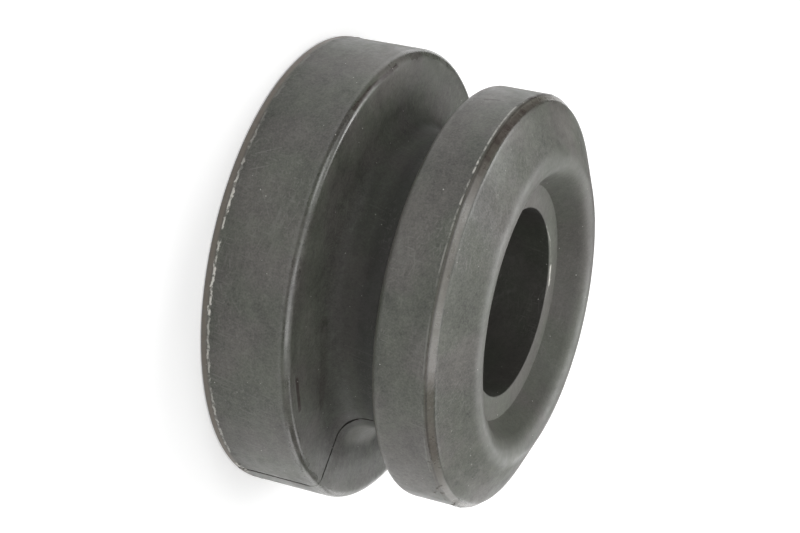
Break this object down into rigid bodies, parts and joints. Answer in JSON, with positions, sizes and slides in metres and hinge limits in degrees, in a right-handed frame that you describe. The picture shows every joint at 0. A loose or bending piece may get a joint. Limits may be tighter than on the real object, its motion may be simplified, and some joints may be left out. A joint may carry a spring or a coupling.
{
  "type": "sway bar bushing",
  "caption": "Moulded rubber spool with a large and a small flange, a groove between them, a dished nose round the bore, and a cut along one side that lets it open over the bar.",
  "frame": {"origin": "centre of the large flange's flat end, on the bore's axis", "axes": "+Z along the bore from the large flange to the small one, +X through the cut"},
  "size_m": [0.0492, 0.0492, 0.0268],
  "materials": {
    "rubber": "matte black-grey moulded rubber"
  },
  "bodies": {
    "root": {"bushing": "rubber"}
  },
  "joints": []
}
